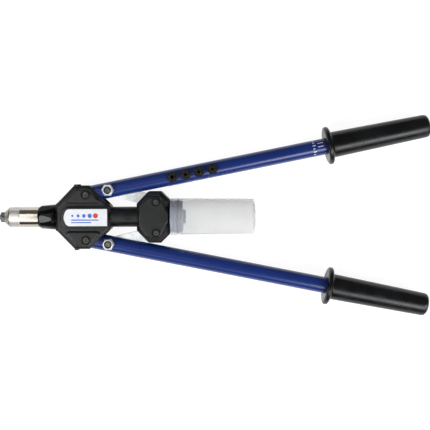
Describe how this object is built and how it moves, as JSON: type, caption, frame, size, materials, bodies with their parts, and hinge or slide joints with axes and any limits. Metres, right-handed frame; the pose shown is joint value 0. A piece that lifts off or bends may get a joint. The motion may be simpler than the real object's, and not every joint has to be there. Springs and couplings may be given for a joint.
{
  "type": "long-arm hand riveter",
  "caption": "Two-handed long-arm lever riveter with swinging tube arms, links, a sliding crosshead, a screwed-in nosepiece and a collector bottle.",
  "frame": {"origin": "centre of the bounding box in X and Y, at the lowest point of the grip guards, which the tool lies on", "axes": "+X from the nose to the grips along the pull axis, +Y towards the arm with the spare nosepieces, +Z out of the labelled front cover"},
  "size_m": [0.5235, 0.2444, 0.046],
  "materials": {
    "black_plastic": "fine matt moulding",
    "grip_plastic": "satin moulding",
    "blue_paint": "glossy powder coat",
    "gloss_black": "glossy black",
    "nickel": "turned and nickel plated",
    "zinc": "bright zinc plate",
    "black_steel": "black oxide",
    "steel": "machined",
    "bronze": "sintered bearing bronze",
    "nylon": "nylon ring",
    "slate_plastic": "satin moulding",
    "rubber": "o-ring",
    "milky_plastic": "milky translucent polyethylene",
    "label": "printed foil"
  },
  "bodies": {
    "housing": {"front_cover": "black_plastic", "back_cover": "black_plastic", "label_plate": "label", "nose_barrel": "gloss_black", "nose_sleeve": "nickel", "nosepiece": "black_steel", "front_guide_bush": "bronze", "rear_guide_bush": "bronze", "upper_pivot_pin": "steel", "lower_pivot_pin": "steel", "upper_pivot_clip": "black_steel", "lower_pivot_clip": "black_steel"},
    "crosshead": {"traction_tube": "steel", "sleeve_tube": "black_plastic", "crosshead_front_cover": "black_plastic", "crosshead_back_cover": "black_plastic", "upper_link_pin": "steel", "lower_link_pin": "steel", "upper_link_clip": "black_steel", "lower_link_clip": "black_steel", "jaw_case": "steel", "collector_socket": "slate_plastic", "collector_seal": "rubber"},
    "jaw_set": {"jaw_1": "black_steel", "jaw_2": "black_steel", "jaw_3": "black_steel", "jaw_pusher": "steel", "jaw_spring": "steel"},
    "bottle": {"collector_bottle": "milky_plastic"},
    "upper_arm": {"upper_arm_tube": "blue_paint", "upper_pivot_bush": "bronze", "upper_grip": "grip_plastic", "upper_link_bolt": "zinc", "upper_lock_nut": "zinc", "upper_nut_insert": "nylon", "upper_link_spacer_front": "steel", "upper_link_spacer_back": "steel", "spare_nosepiece_1": "black_steel", "spare_nosepiece_2": "black_steel", "spare_nosepiece_3": "black_steel", "spare_nosepiece_4": "black_steel"},
    "lower_arm": {"lower_arm_tube": "blue_paint", "lower_pivot_bush": "bronze", "lower_grip": "grip_plastic", "lower_link_bolt": "zinc", "lower_lock_nut": "zinc", "lower_nut_insert": "nylon", "lower_link_spacer_front": "steel", "lower_link_spacer_back": "steel"},
    "upper_link_bar": {"upper_link": "zinc"},
    "lower_link_bar": {"lower_link": "zinc"}
  },
  "joints": [
    {"name": "upper_arm_hinge", "type": "hinge", "parent": "housing", "child": "upper_arm", "pos_m": [-0.1546, 0.0273, 0.023], "axis": [0, 0, 1], "range_deg": [0, 50]},
    {"name": "lower_arm_hinge", "type": "hinge", "parent": "housing", "child": "lower_arm", "pos_m": [-0.1546, -0.0273, 0.023], "axis": [0, 0, -1], "range_deg": [0, 50]},
    {"name": "crosshead_slide", "type": "slide", "parent": "housing", "child": "crosshead", "axis": [-1, 0, 0], "range_m": [0, 0.0196]},
    {"name": "upper_link_hinge", "type": "hinge", "parent": "upper_arm", "child": "upper_link_bar", "pos_m": [-0.12812, 0.03256, 0.023], "axis": [0, 0, -1], "range_deg": [0, 70]},
    {"name": "lower_link_hinge", "type": "hinge", "parent": "lower_arm", "child": "lower_link_bar", "pos_m": [-0.12812, -0.03256, 0.023], "axis": [0, 0, 1], "range_deg": [0, 70]},
    {"name": "jaw_slide", "type": "slide", "parent": "crosshead", "child": "jaw_set", "axis": [1, 0, 0], "range_m": [0, 0.003], "stiffness_N_per_m": 1500, "springref_m": -0.002},
    {"name": "bottle_pull", "type": "slide", "parent": "crosshead", "child": "bottle", "axis": [1, 0, 0], "range_m": [0, 0.016]}
  ],
  "couplings": [
    {"joint": "lower_arm_hinge", "follows": "upper_arm_hinge", "ratio": 1},
    {"joint": "crosshead_slide", "follows": "upper_arm_hinge", "m_per_rad": 0.022345},
    {"joint": "upper_link_hinge", "follows": "upper_arm_hinge", "ratio": 1.39},
    {"joint": "lower_link_hinge", "follows": "upper_arm_hinge", "ratio": 1.39}
  ]
}
